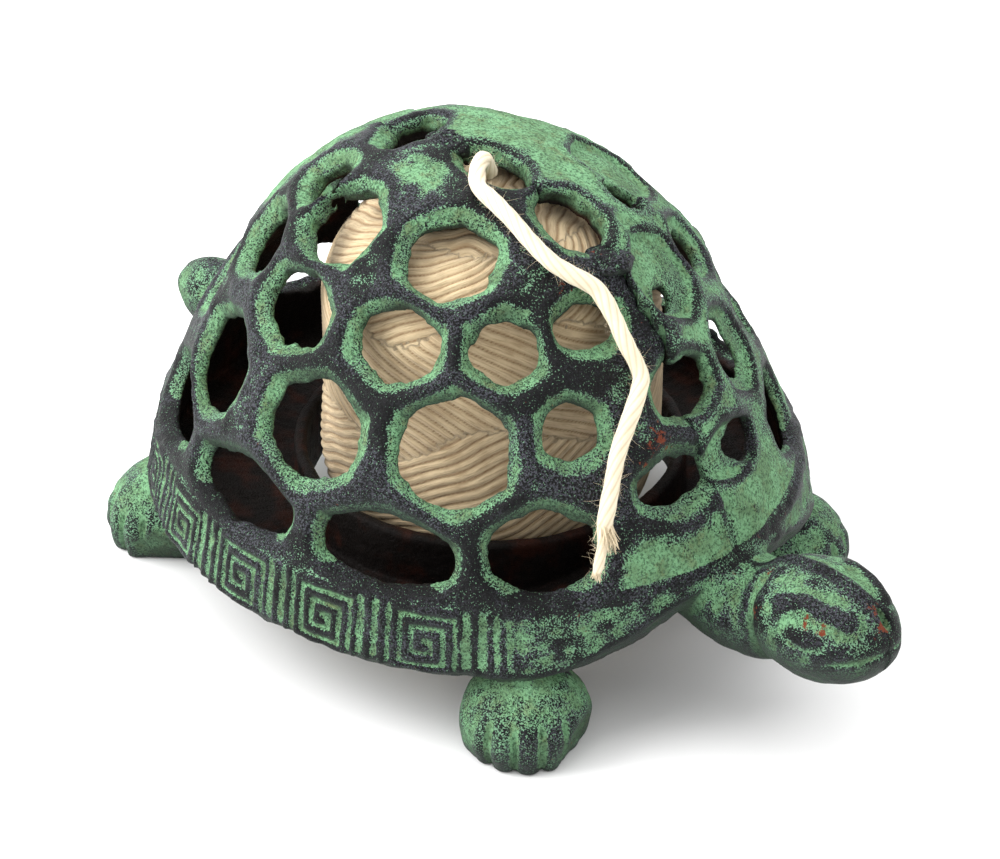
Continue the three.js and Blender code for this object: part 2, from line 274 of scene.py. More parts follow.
def make_loose_end():
    rng = np.random.default_rng(SEED)
    path = loose_end_route()
    points, lobes = twisted_twine(path, TWINE_DIAMETER / 2, rng)
    faces = ring_faces(len(path), TWINE_SIDES)
    twine = add_mesh("twine_loose_end_strand", points, faces, "turtle", {"height": lobes})
    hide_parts("twine_loose_end")

    across, over = path_sides(path)
    ahead = np.gradient(path, axis=0) / TWINE_STEP
    at = rng.integers(4, len(path) - 2, FUZZ_FIBRES)
    turn = rng.uniform(0, 2 * math.pi, FUZZ_FIBRES)[:, None]
    outward = across[at] * np.cos(turn) + over[at] * np.sin(turn)
    starts = path[at] + outward * TWINE_DIAMETER * 0.43
    column = (FUZZ_FIBRES, 1)
    directions = outward * rng.uniform(0.15, 0.8, column) + ahead[at] * rng.choice([-0.7, 0.8], column)
    lengths = rng.uniform(0.4, 1.5, FUZZ_FIBRES)
    points, faces = thin_fibres(starts, directions, lengths, FUZZ_RADIUS, rng, curl=0.7)
    fuzz = add_mesh("twine_fuzz", points, faces, "turtle")

    # The cut end's brush, and the tuft that sticks out of the strand's side a little above it.
    def tuft(name, place, direction, thick, spread, number, length, radius):
        turn = rng.uniform(0, 2 * math.pi, number)[:, None]
        off = (across[place] * np.cos(turn) + over[place] * np.sin(turn)) * rng.uniform(0, thick, (number, 1))
        heading = np.asarray(direction) + off * spread
        points, faces = thin_fibres(
            path[place] + off, heading, rng.uniform(0.6, 1, number) * length, radius, rng, curl=0.18
        )
        return add_mesh(name, points, faces, "turtle")

    end = len(path) - 3
    brush = tuft("twine_cut_end_fibres", end, ahead[-1], 0.8, 0.15, 60, 1.7, 0.14)
    side = end - round((END_LENGTH + 1) / TWINE_STEP)
    outside = over[side] if over[side][0] > 0 else -over[side]
    fray = tuft("twine_side_fray", side, ahead[side] + outside * 0.35, 1.3, 0.16, 80, 5, 0.17)
    return [twine, fuzz, brush, fray]


loose_end = make_loose_end()

# ---- carving in a field of signed distances -------------------------------------------------------------

VOXEL = 0.5


def smin(a, b, blend):
    """The smaller of two distances, with a fillet of about that size where they meet."""
    mix = np.clip(blend - np.abs(a - b), 0, None) / blend
    return np.minimum(a, b) - mix * mix * blend / 4


def smax(a, b, blend):
    return -smin(-a, -b, blend)


class Block:
    """The evenly spaced points of a box about the dome's centre."""

    def __init__(self, low, high, step=VOXEL):
        self.low, self.step = np.array(low, float), step
        axes = [np.arange(a, b, step, dtype=np.float32) for a, b in zip(low, high)]
        self.x, self.y, self.z = axes[0][:, None, None], axes[1][None, :, None], axes[2][None, None, :]
        self.shape = tuple(len(a) for a in axes)

    def part(self, low, high):
        """A smaller block inside this one, and the slices that cut it from this one's arrays."""
        cuts = tuple(
            slice(max(0, int((a - o) / self.step)), min(n, max(1, int((b - o) / self.step) + 1)))
            for a, b, o, n in zip(low, high, self.low, self.shape)
        )
        inner = Block.__new__(Block)
        inner.low = self.low + [c.start * self.step for c in cuts]
        inner.step = self.step
        inner.x, inner.y, inner.z = self.x[cuts[0]], self.y[:, cuts[1]], self.z[:, :, cuts[2]]
        inner.shape = tuple(c.stop - c.start for c in cuts)
        return inner, cuts

    def noise(self, size, seed):
        """Smooth noise of about unit height whose lumps are about that size."""
        rng = np.random.default_rng(seed)
        values = rng.standard_normal([int(n * self.step / size) + 3 for n in self.shape]).astype(np.float32)
        for axis, count in enumerate(self.shape):
            at = np.arange(count) * self.step / size
            low = at.astype(int)
            share = at - low
            share = (share * share * (3 - 2 * share)).astype(np.float32)
            share = share.reshape([-1 if k == axis else 1 for k in range(3)])
            values = np.take(values, low, axis) * (1 - share) + np.take(values, low + 1, axis) * share
        return values

    def ellipsoid(self, centre, half):
        """Nearly the distance to an ellipsoid."""
        p = [(a - c) / h for a, c, h in zip((self.x, self.y, self.z), centre, half)]
        near = np.sqrt(p[0] ** 2 + p[1] ** 2 + p[2] ** 2) + 1e-6
        slope = np.sqrt((p[0] / half[0]) ** 2 + (p[1] / half[1]) ** 2 + (p[2] / half[2]) ** 2) + 1e-6
        return near * (near - 1) / slope

    def sample(self, field, points):
        """The field's value at points about the dome's centre."""
        at = np.clip((points - self.low) / self.step, 0, np.array(self.shape) - 1.001)
        base = at.astype(int)
        share = at - base
        total = np.zeros(len(points))
        for corner in np.ndindex(2, 2, 2):
            weight = np.prod(np.where(corner, share, 1 - share), axis=1)
            i, j, k = (base + corner).T
            total += weight * field[i, j, k]
        return total

    def blurred(self, field, reach):
        """The field averaged over a cube that reaches so many millimetres to each side."""
        steps = max(1, round(reach / self.step))
        for axis in range(3):
            padded = np.concatenate(
                [np.repeat(np.take(field, [0], axis), steps + 1, axis), field]
                + [np.repeat(np.take(field, [-1], axis), steps, axis)],
                axis,
            )
            total = np.cumsum(padded, axis, dtype=np.float64)
            count = field.shape[axis]
            high = np.take(total, np.arange(count) + 2 * steps + 1, axis)
            field = ((high - np.take(total, np.arange(count), axis)) / (2 * steps + 1)).astype(np.float32)
        return field

    def skin(self, field):
        """Points and four-sided faces of the surface where the field is zero."""
        band = 3 * self.step
        grid = openvdb.FloatGrid(band)
        grid.copyFromArray(np.ascontiguousarray(np.clip(field, -band, band), dtype=np.float32))
        points, quads = grid.convertToQuads(0.0)
        return points * self.step + self.low, quads[:, ::-1]


def outline_distance(outline, radii, heights):
    """The signed distance from points (radius, height) to a closed outline of such points."""
    r, z = np.meshgrid(radii, heights, indexing="ij")
    distance = np.full(r.shape, 1e9)
    inside = np.zeros(r.shape, bool)
    for (r0, z0), (r1, z1) in zip(outline, outline[1:] + outline[:1]):
        dr, dz = r1 - r0, z1 - z0
        t = np.clip(((r - r0) * dr + (z - z0) * dz) / max(dr * dr + dz * dz, 1e-9), 0, 1)
        distance = np.minimum(distance, np.hypot(r - r0 - t * dr, z - z0 - t * dz))
        crosses = (z0 > z) != (z1 > z)
        inside ^= crosses & (r < r0 + (z - z0) * dr / (dz if abs(dz) > 1e-9 else 1e-9))
    return np.where(inside, -distance, distance).astype(np.float32)


def turned_distance(block, outline):
    """The distance to an outline turned about the dome's axis and stretched to the dome's oval plan."""
    radii = np.arange(0, 90, 0.25)
    table = outline_distance(outline, radii, block.z.ravel())
    plan = MEAN_RADIUS * np.hypot(block.x / DOME_HALF_LENGTH, block.y / DOME_HALF_WIDTH)[:, :, 0]
    at = np.clip(plan / 0.25, 0, len(radii) - 2)
    low = at.astype(int)
    share = (at - low)[..., None].astype(np.float32)
    return table[low] * (1 - share) + table[low + 1] * share


# ---- the openwork shell ---------------------------------------------------------------------------------

# Bearing from straight ahead, height, and half width and half height of each cell, row by row. On the left
# half, "left" is the recess (bearing, height, half sizes) where it isn't the right one's mirror image, and
# flash has left some openings smaller: "other" is such an opening's half sizes, and "hole" its bearing and
# height where it isn't in the middle of the recess. Hidden cells of the left half stand where light shows
# through the shell, up to 9 mm from their places in the CAD part.
SIDES = {"right": -1, "left": 1}
CELLS = [
    {"bearing": 7.5, "z": 49.5, "half": (7.6, 4.3), "other": (5, 4.2), "hole": (12, 49)},
    {"bearing": 35, "z": 42, "half": (9.6, 7.2)},
    {"bearing": 65, "z": 39.8, "half": (12.8, 6.2), "left": (73, 36.6, (12.8, 8.4))},
    {"bearing": 101, "z": 39, "half": (12.8, 5.6)},
    {"bearing": 135, "z": 40, "half": (11.5, 6)},
    {"bearing": 163, "z": 42, "half": (8, 6.5), "left": (168, 39.5, (9, 7))},
    {
        "bearing": 27,
        "z": 62,
        "half": (5.2, 5),
        "left": (25, 61, (7, 8)),
        "other": (4.6, 6.4),
        "hole": (23, 62.5),
    },
    {"bearing": 52.3, "z": 58.5, "half": (10.2, 9.8)},
    {"bearing": 87, "z": 56, "half": (10.2, 9.2)},
    {"bearing": 124, "z": 54.5, "half": (9.8, 8.8)},
    {"bearing": 153, "z": 59, "half": (7.5, 7.5)},
    {
        "bearing": 16.5,
        "z": 78,
        "half": (6, 4),
        "left": (15, 79, (8.6, 8.2)),
        "other": (3.4, 2.5),
        "hole": (9, 76.6),
    },
    {"bearing": 40, "z": 75.6, "half": (6, 5.8), "other": (5, 4.5)},
    {"bearing": 70, "z": 74.4, "half": (8, 6.4)},
    {"bearing": 106.5, "z": 72.6, "half": (8.6, 6.6)},
    {"bearing": 139.5, "z": 74.5, "half": (7.2, 6.4), "left": (149, 73.2, (7.2, 6.4))},
    {"bearing": 59, "z": 87.6, "half": (8.2, 7.8), "other": (4, 4.5), "hole": (36, 87.6)},
    {"bearing": 113, "z": 86.2, "half": (7.8, 7.6)},
    {"bearing": 143, "z": 86.8, "half": (6, 5.2)},
]
SEAM_CELLS = [
    {"x": 52.8, "y": 2.8, "half": (7.2, 5.2)},
    {"x": 24.6, "half": (5, 7.2)},
    {"x": 4.4, "half": (3.6, 7.8)},
    {"x": -17.5, "half": (6.6, 4.6)},
    {"x": -50, "half": (7, 6)},
]
CELL_ROUNDING = 0.5  # 0 is a straight-sided hexagon, 1 is an oval
CELL_SWELL = 1.1  # cells open wider than their half sizes
BEVEL_WIDTH = {"right": 4.2, "left": 2}  # from a cell's edge to the top of the ridge round it
BEVEL_DEPTH = {"right": 2.7, "left": 1.7}
BEVEL_BOW = 1.5  # 1 is a straight slope, more is hollow
CELL_REACH = 9  # how far in from the dome a cell cuts
RECESS_REACH = 20  # how far from its own flat a recess is measured
FIELD_FAR = 12.0  # distances are not followed further out than this


def plan_point(bearing, z):
    radius = (1 - (z - DOME_FOOT) / DOME_HEIGHT) ** (1 / DOME_POWER)
    angle = math.radians(bearing)
    reach = radius / math.hypot(math.cos(angle) / DOME_HALF_LENGTH, math.sin(angle) / DOME_HALF_WIDTH)
    return reach * math.cos(angle), reach * math.sin(angle)


def cell_places(side):
    """For each cell of a half: the plan point and half sizes of its recess, and then of the opening in it."""
    turned = SIDES[side]
    for cell in CELLS:
        bearing, z, half = cell["bearing"], cell["z"], cell["half"]
        if side == "left":
            bearing, z, half = cell.get("left", (bearing, z, half))
        x, y = plan_point(bearing, z)
        hole_x, hole_y, hole = x, y, half
        if side == "left" and "other" in cell:
            hole_x, hole_y = plan_point(*cell.get("hole", (bearing, z)))
            hole = cell["other"]
        yield (x, turned * y), half, (hole_x, turned * hole_y), hole
    for cell in SEAM_CELLS:
        place = (cell["x"], cell.get("y", 0))
        yield place, cell["half"], place, cell["half"]


def cell_distance(block, place, half, reach):
    """About how far points are from a cell's straight-sided outline, negative in the cell."""
    centre, around, up, out = dome_frame(*place)
    p = [a - c for a, c in zip((block.x, block.y, block.z), centre)]
    u, v, n = (p[0] * d.x + p[1] * d.y + p[2] * d.z for d in (around, up, out))
    a, b = u / half[0], v / half[1]
    near = np.hypot(a, b) + 1e-3
    side = math.pi / 3
    turn = np.mod(np.arctan2(b, a) - side / 2, side) - side / 2
    flat = math.cos(side / 2) / np.cos(turn)
    edge = (flat + (1 - flat) * CELL_ROUNDING) * CELL_SWELL
    distance = np.hypot(u, v) * (1 - edge / near)
    return np.where(np.abs(n) < reach, distance, FIELD_FAR).astype(np.float32)


def shell_cells(block, side):
    """Distances to the nearest and the second nearest recess, and to the nearest opening."""
    first = np.full(block.shape, FIELD_FAR, np.float32)
    second = first.copy()
    opening = first.copy()
    ragged = 0.45 * block.noise(3.6, SEED + 1) + 0.22 * block.noise(1.5, SEED + 2)
    for recess_place, recess, hole_place, hole in cell_places(side):
        centre = dome_frame(*recess_place)[0]
        reach = max(recess) * CELL_SWELL + FIELD_FAR + 2
        inner, cut = block.part(centre - Vector([reach] * 3), centre + Vector([reach] * 3))
        if min(inner.shape) < 1:
            continue
        distance = np.minimum(cell_distance(inner, recess_place, recess, RECESS_REACH), FIELD_FAR)
        higher = np.maximum(first[cut], distance)
        second[cut] = np.minimum(second[cut], higher)
        first[cut] = np.minimum(first[cut], distance)
        distance = cell_distance(inner, hole_place, hole, CELL_REACH)
        opening[cut] = np.minimum(opening[cut], distance + ragged[cut])
    return first, second, opening


# ---- relief on the rim band -----------------------------------------------------------------------------

FRET_PERIOD = 21.2  # from one square of the fret to the next, round the rim
FRET_WIDTH = 13.2
FRET_LOW, FRET_HIGH = 1.9, 14.2  # above the band's foot
FRET_PITCH = 2.35
FRET_LINE = 0.6  # half the width of a raised line
FRET_HEIGHT = 0.55
FRET_BARS = (2.4, 5.4)  # the upright bars after each square
FRET_START = 80.0  # where a square begins, along the rim from straight ahead


def fret_lines():
    """The square spiral and the bars beside it, as straight lines from corner to corner."""
    w, low, high, p = FRET_WIDTH, FRET_LOW, FRET_HIGH, FRET_PITCH
    points = [(0, low)]
    for turn in range(3):
        inset = turn * p
        points += [(inset, high - inset), (w - inset, high - inset), (w - inset, low + inset)]
        points += [(inset + p, low + inset)]
    lines = list(zip(points, points[1:]))
    lines += [((w + bar, low), (w + bar, high)) for bar in FRET_BARS]
    return lines


def fret_distance(along, up):
    """The distance to the fret's lines, along the rim and above its foot."""
    place = np.mod(along - FRET_START, FRET_PERIOD)
    distance = np.full(np.broadcast(along, up).shape, 9.0, np.float32)
    for (a0, u0), (a1, u1) in fret_lines():
        da, du = a1 - a0, u1 - u0
        t = np.clip(((place - a0) * da + (up - u0) * du) / (da * da + du * du), 0, 1)
        distance = np.minimum(distance, np.hypot(place - a0 - t * da, up - u0 - t * du))
    return distance


def rim_relief(block):
    """How far the fret stands out at each point of the plan and height, worn away near the head."""
    bearings = np.linspace(0, math.pi, 721)
    reach = 1.02 / np.hypot(np.cos(bearings) / DOME_HALF_LENGTH, np.sin(bearings) / DOME_HALF_WIDTH)
    rim = np.stack([reach * np.cos(bearings), reach * np.sin(bearings)], axis=1)
    along = np.r_[0, np.cumsum(np.linalg.norm(np.diff(rim, axis=0), axis=1))]
    bearing = np.abs(np.arctan2(block.y, block.x))
    place = np.interp(bearing, bearings, along).astype(np.float32)
    line = fret_distance(place, block.z - RIM_FOOT)
    worn = smoothstep(bearing, math.radians(33), math.radians(58))
    return FRET_HEIGHT * worn * (1 - smoothstep(line, FRET_LINE - 0.3, FRET_LINE + 0.35))


# ---- half castings --------------------------------------------------------------------------------------

HEAD = {"centre": (89, 0, 27.9), "half": (17, 12.3, 10.9)}
NECK = {"centre": (70, 0, 23), "half": (19, 10.5, 9.5)}
TAIL = {"centre": (-75, 0, 30.6), "half": (11.6, 6.8, 7.4)}
BROW = [(86.6, 9.0, 34.6), (90.3, 7.6, 36.4), (95.2, 6.8, 35.9), (99.3, 5.4, 34.6)]
BROW_RADIUS = 1.3
BROW_CREASE = [(89.5, 11.4, 34.3), (93, 10.6, 35), (97, 9.2, 34.3), (99.5, 8, 33.2)]
BROW_CREASE_DEPTH, BROW_CREASE_WIDTH = 0.4, 0.8
EYE = {"centre": (93.2, 10.8, 31.4), "half": (4.6, 3, 2.1)}
EYE_RIM_DEPTH, EYE_BULGE = 0.16, 0.32
FOLD_X, FOLD_LEAN, FOLD_WIDTH, FOLD_DEPTH = 79.5, 0.12, 1.5, 1.1  # between the neck and the head
MOUTH_X, MOUTH_Z, MOUTH_RISE = 96, 26.4, 0.22  # a shallow line along the beak
MOUTH_WIDTH, MOUTH_DEPTH = 0.55, 0.35
HEAD_SEAM_Y, HEAD_SEAM_HEIGHT = 1.1, 0.7  # the ridge left along the top of the head
NOSE_CHIP = {"centre": (103.4, 1.6, 34), "half": (3.2, 1.2, 2.4)}
LEG_RADIUS = 12.9
LEG_HEIGHT = 12  # of the barrel above its waist
LEG_WAIST = 5
TOE_STEP = 25
TOE_DEPTH = 1.7
FACET_TURN = 62  # the flat on the forward side of each foot, from its heading
FACET_REACH = 9.8
FACET_LEAN = 0.28
LEGS = [{"x": 48.6, "y": 38.5, "heading": 45}, {"x": -51.4, "y": 37.8, "heading": 110}]
SILL_DEEPER = 0.5  # share by which the bottom row is cut deeper
HALF_SEAM = 0.15
PARTING_VEER = 3.4  # to the left, at the front of the ledge
SEAM_LAP = 0.45  # the halves run together where the seam has been filled
SEAM_STEP = 1.8  # how far the left half stands proud of the right one towards the front
CROWN_SWELL, CROWN_SWELL_X = 1.7, -22  # a low mound behind the crown hole
CROWN_SWELL_LENGTH, CROWN_SWELL_WIDTH = 26, 34
LEFT_FRONT_SINK = 1.1  # the left half's front lies this far under the dome
UNDERSIDE_SLOPE = 0.75
LUMP_SEEDS = (SEED + 10, SEED + 20, SEED + 30)
RIM_ARCH = 13.6  # how far the rim's lower edge rises over the neck
RUST_SPOTS = [
    ((34, -12, 83.5), 2.6),
    ((36.5, -13.5, 81), 1.6),
    ((56.5, -9.5, 57.5), 4.2),
    ((57.5, -13, 54), 2.6),
    ((93, -11, 34.6), 2.2),
    ((97, -9.4, 34), 1.8),
    ((101.5, 0.4, 36), 2.2),
    ((104.2, -0.6, 33), 2.4),
    ((80.3, -10.1, 31), 2.4),
    ((79, -4, 36), 2),
]
OUT_OF_SIGHT = 60  # the outlines run past the axis, so that the axis itself is no edge


def dome_outline(inset, foot, waist):
    """A closed outline: up the rim band from its foot, then over the dome."""
    radius, height = MEAN_RADIUS - inset, DOME_HEIGHT - inset
    share = np.sin(np.linspace(math.pi / 2, 0, 40)) ** 0.8
    over = [(radius * s, DOME_FOOT + height * (1 - s**DOME_POWER)) for s in share]
    top = DOME_FOOT + height
    return [(-OUT_OF_SIGHT, foot)] + waist + over + [(-OUT_OF_SIGHT, top)]


def capsule_line(block, points, radius):
    """The distance to a round bar along a line of points."""
    distance = None
    for start, end in zip(points, points[1:]):
        s, d = np.array(start), np.subtract(end, start)
        t = (block.x - s[0]) * d[0] + (block.y - s[1]) * d[1] + (block.z - s[2]) * d[2]
        t = np.clip(t / (d @ d), 0, 1)
        off = [axis - s[k] - t * d[k] for k, axis in enumerate((block.x, block.y, block.z))]
        far = np.sqrt(off[0] ** 2 + off[1] ** 2 + off[2] ** 2)
        distance = far if distance is None else np.minimum(distance, far)
    return distance - radius


def carve_head(block, side):
    """Distance to a half of the head and neck, with brow, eye, fold and mouth."""
    turned = SIDES[side]
    mirrored = lambda p: (p[0], p[1] * turned, p[2])
    head = block.ellipsoid(HEAD["centre"], HEAD["half"])
    head = smin(head, block.ellipsoid(NECK["centre"], NECK["half"]), 2)
    head = smin(head, capsule_line(block, [mirrored(p) for p in BROW], BROW_RADIUS), 2)
    crease = capsule_line(block, [mirrored(p) for p in BROW_CREASE], 0)
    head = head + BROW_CREASE_DEPTH * np.exp(-((crease / BROW_CREASE_WIDTH) ** 2))
    eye = [(a - c) / h for a, c, h in zip((block.x, block.y, block.z), mirrored(EYE["centre"]), EYE["half"])]
    near = np.sqrt(eye[0] ** 2 + eye[1] ** 2 + eye[2] ** 2)
    head = head + EYE_RIM_DEPTH * np.exp(-(((near - 1.1) / 0.3) ** 2)) - EYE_BULGE * np.clip(1 - near, 0, 1)
    fold = np.exp(-(((block.x - FOLD_X + FOLD_LEAN * (block.z - 28)) / FOLD_WIDTH) ** 2))
    head = head + FOLD_DEPTH * fold * smoothstep(np.abs(block.y), 2, 7)
    mouth = np.exp(-(((block.z - MOUTH_Z - MOUTH_RISE * (block.x - MOUTH_X)) / MOUTH_WIDTH) ** 2))
    head = head + MOUTH_DEPTH * mouth * smoothstep(block.x, MOUTH_X, MOUTH_X + 5)
    if side == "left":
        edge = np.exp(-(((block.y - HEAD_SEAM_Y) / 0.8) ** 2)) * smoothstep(block.z, 33, 36)
        along = smoothstep(block.x, 76, 80) * (1 - smoothstep(block.x, 97, 101))
        head = head - HEAD_SEAM_HEIGHT * edge * along
        head = smax(head, -block.ellipsoid(NOSE_CHIP["centre"], NOSE_CHIP["half"]), 0.6)
    return head


def carve_leg(block, turned, leg):
    """Distance to a stub leg with grooves between its toes, and a flat on its forward side."""
    x, y = leg["x"], turned * leg["y"]
    barrel = block.ellipsoid((x, y, LEG_WAIST), (LEG_RADIUS, LEG_RADIUS, LEG_HEIGHT))
    under = block.ellipsoid((x, y, LEG_WAIST), (LEG_RADIUS, LEG_RADIUS, LEG_HEIGHT + 2))
    barrel = np.where(block.z > LEG_WAIST, barrel, under)
    ahead, outward = block.x - x, (block.y - y) * turned
    bearing = np.degrees(np.arctan2(outward, ahead)) - leg["heading"]
    toe = (np.mod(bearing + 180, 360) - 180) / TOE_STEP
    groove = np.abs(np.cos(math.pi * toe)) ** 0.6
    reach = (1 - smoothstep(np.abs(toe), 1.6, 2.3)) * (1 - smoothstep(block.z, 8, 11.5))
    barrel = barrel + (TOE_DEPTH * (1 - groove) - 0.4) * reach
    turn = math.radians(leg["heading"] - FACET_TURN)
    facet = ahead * math.cos(turn) + outward * math.sin(turn) - FACET_REACH - FACET_LEAN * block.z
    return smax(barrel, facet, 1.2)


def half_casting(side):
    """One half of the turtle as a single casting, in place of its eight CAD nodes."""
    turned = SIDES[side]
    low_y, high_y = sorted((-1.5 * turned, 66 * turned))
    block = Block((-90, low_y, -1.5), (108, high_y, 97))
    large, middling, small = (seed + turned for seed in LUMP_SEEDS)
    lumps = 0.26 * block.noise(7, large) + 0.13 * block.noise(2.6, middling)
    lumps += 0.05 * block.noise(1.2, small)

    flare = MEAN_RADIUS * RIM_FLARE
    waist = [(flare - 1.5, RIM_FOOT), (flare, RIM_FOOT + RIM_LIP)]
    outer = turned_distance(block, dome_outline(0, RIM_FOOT, waist))
    inner = turned_distance(block, dome_outline(WALL, FLOOR_TOP, [(flare - WALL - 0.5, FLOOR_TOP)]))

    # The rim's lower edge arches up over the neck, and the underside below it slopes in.
    bearing = np.degrees(np.abs(np.arctan2(block.y, block.x)))
    edge = RIM_FOOT + RIM_ARCH * (1 - smoothstep(bearing, 3, 46))
    slope = UNDERSIDE_SLOPE * np.clip(edge - block.z, 0, None)
    slope = slope * smoothstep(block.x, 20, 40)

    first, second, opening = shell_cells(block, side)
    half_gap = (first + second) / 2
    half_rib = np.clip(half_gap, 0.8, BEVEL_WIDTH[side])
    rise = np.clip(first / half_rib, 0, 1)
    above_rim = smoothstep(block.z, DOME_FOOT - 1, DOME_FOOT + 1.5)
    depth = BEVEL_DEPTH[side]
    depth = depth * (1 + SILL_DEEPER * (1 - smoothstep(block.z, 36, 46)))
    drop = depth * (1 - rise) ** BEVEL_BOW * above_rim
    mound = ((block.x - CROWN_SWELL_X) / CROWN_SWELL_LENGTH) ** 2
    swell = CROWN_SWELL * np.exp(-mound - (block.y / CROWN_SWELL_WIDTH) ** 2) * smoothstep(block.z, 50, 80)
    drop = drop - swell
    if side == "left":
        proud = smoothstep(block.x, 4, 30) * smoothstep(block.z, 55, 66) * (1 - smoothstep(block.y, 2, 12))
        drop = drop - SEAM_STEP * proud
        sunk = smoothstep(block.x, 25, 45) * smoothstep(block.y, 8, 22)
        drop = drop + LEFT_FRONT_SINK * sunk * above_rim
    relief = rim_relief(block)
    face = outer + slope + drop + lumps - relief * (1 - above_rim)
    hollow = inner + slope + 0.5 * lumps
    wall = smax(face, -hollow, 0.6)

    from_middle = np.hypot(block.x - COLLAR_X, block.y)
    mouth = np.maximum(from_middle - (COLLAR_INNER + COLLAR_OUTER) / 2, block.z - COLLAR_TOP)
    wall = np.maximum(wall, -mouth)
    ring = np.maximum(from_middle - COLLAR_OUTER, COLLAR_INNER - from_middle)
    ring = smax(ring, np.maximum(block.z - COLLAR_TOP, RIM_FOOT - block.z), 1.2) + 0.5 * lumps
    wall = smin(wall, ring, 0.8)
    wall = smax(wall, -opening, 0.35)

    stop = -(outer + slope + 2)  # limbs reach only a little way into the wall
    head = np.maximum(carve_head(block, side) + 0.8 * lumps, stop)
    tail = np.maximum(block.ellipsoid(TAIL["centre"], TAIL["half"]) + 0.8 * lumps, stop)
    body = smin(smin(wall, head, 1.6), tail, 1.6)
    for leg in LEGS:
        limb = np.maximum(carve_leg(block, turned, leg) + 0.8 * lumps, stop)
        body = smin(body, limb, 1.8)
    body = np.maximum(body, 0.05 - block.z)
    open_seam = smoothstep(block.x, -16, -8) * (1 - smoothstep(block.x, 46, 54))
    ragged = 0.5 * np.sin(block.x * 1.9) + 0.4 * np.sin(block.x * 0.83 + 1)
    veer = PARTING_VEER * smoothstep(block.x, 45, 54) * open_seam * smoothstep(block.z, 54, 60)
    parting = turned * (block.y - 0.9 * ragged * open_seam - veer)
    body = np.maximum(body, HALF_SEAM - SEAM_LAP * (1 - open_seam) - parting)

    points, quads = block.skin(body)
    narrow = 1 - 0.55 * smoothstep(half_gap, 5, 12)
    worn = rise * narrow
    if side == "left":
        worn = 0.58 * worn + 0.4 * np.exp(-(((first - 0.9) / 0.8) ** 2))
    band = 0.7 + 0.22 * relief / FRET_HEIGHT + 0.4 * np.exp(-(((block.z - DOME_FOOT - 0.6) / 1.6) ** 2))
    ridge = np.where(block.z > DOME_FOOT + 1.5, worn, band)
    ridge = np.where(outer > 2, np.where(block.x > 72, 0.68, 0.6), ridge)
    rust = [np.linalg.norm(points - np.array(place), axis=1) / reach for place, reach in RUST_SPOTS]
    attributes = {
        "ridge": block.sample(ridge, points),
        "rust": np.exp(-(np.min(rust, axis=0) ** 2)),
        "inside": smoothstep(-block.sample(outer + slope + drop, points), 1.5, 3),
        "bulge": block.sample(block.blurred(body, 1.6), points),
    }
    made = add_mesh(f"{side}_half_casting", points, quads.tolist(), "turtle", attributes)
    parts = ("shell", "rim_band", "belly_floor", "collar", "head", "foreleg", "hindleg", "tail")
    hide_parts(*(f"{side}_{part}" for part in parts))
    return made


castings = [half_casting(side) for side in SIDES]

# ---- tacks on the seam ----------------------------------------------------------------------------------

TACKS = {
    "crown_seam_tack": {"x": -8, "half": (4.6, 3.8, 2.2)},
    "front_seam_tack": {"x": 34, "half": (4.4, 4.6, 2.4)},
}


def make_tack(name, x, half):
    centre = np.array([x, 0, dome_height(x, 0) - 0.6])
    block = Block(centre - 8, centre + 8, 0.25)
    lump = block.ellipsoid(centre, half)
    lump = lump + 0.35 * block.noise(2.2, SEED + 40) + 0.16 * block.noise(1, SEED + 41)
    around = np.hypot(block.x - centre[0] - 1, block.y - centre[1] + 0.6)
    lump = lump + 0.16 * np.cos(around * 2 * math.pi / 1.5)
    points, quads = block.skin(lump)
    ones = np.ones(len(points))
    bulge = block.sample(block.blurred(lump, 1), points)
    attributes = {"ridge": ones, "rust": 0 * ones, "inside": 0 * ones, "bulge": bulge}
    made = add_mesh(name + "_lump", points, quads.tolist(), "turtle", attributes)
    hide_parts(name)
    return made


tacks = [make_tack(name, **tack) for name, tack in TACKS.items()]

# ---- the ball of twine ----------------------------------------------------------------------------------

BALL_COLUMNS = 480
BALL_ROWS = 330
BALL_ROUND_FOOT = 33  # the ball narrows from this height down
STRANDS = 47  # strands side by side round the ball
STRAND_SLOPE = math.radians(27)
STRAND_RISE = 0.55  # from between two strands to a strand's top
CAP_STRAND = 2.6  # from one strand to the next over the ends
ZONE_STEP = 0.8  # how far a layer of strands stands over the one it crosses
BALL_SLACK = 1.1  # how far the strands' tops stay inside the CAD ball, before its slow swell
BALL_BACK = math.radians(133)  # where the ball's columns begin, away from the camera


def ball_profile(rows):
    """Radius, height, and outward direction, evenly along the barrel from its foot to its top."""
    bend = np.linspace(0, math.pi / 2, 200)
    foot = BALL_ROUND_FOOT - BALL_LIFT
    hip = [(BALL_RADIUS * math.sin(a), BALL_ROUND_FOOT - foot * math.cos(a)) for a in bend]
    top = BALL_TOP - BALL_SHOULDER
    shoulder = [(BALL_RADIUS * math.cos(a), BALL_SHOULDER + top * math.sin(a)) for a in bend]
    line = np.array([(r, 0, z) for r, z in hip + shoulder])
    along = np.r_[0, np.cumsum(np.linalg.norm(np.diff(line, axis=0), axis=1))]
    places = np.linspace(0, along[-1], rows)
    radius, height = np.interp(places, along, line[:, 0]), np.interp(places, along, line[:, 2])
    ahead = np.gradient(np.stack([radius, height], axis=1), axis=0)
    ahead /= np.linalg.norm(ahead, axis=1)[:, None]
    return places, radius, height, np.stack([ahead[:, 1], -ahead[:, 0]], axis=1)


def strand_height(phase, twist):
    """The rounded top of strands, one each turn of the phase, with three soft plies in each."""
    ply = np.abs(np.cos(1.5 * phase + twist)) ** 0.8
    return 0.9 * np.abs(np.cos(phase / 2)) ** 0.75 + 0.1 * ply


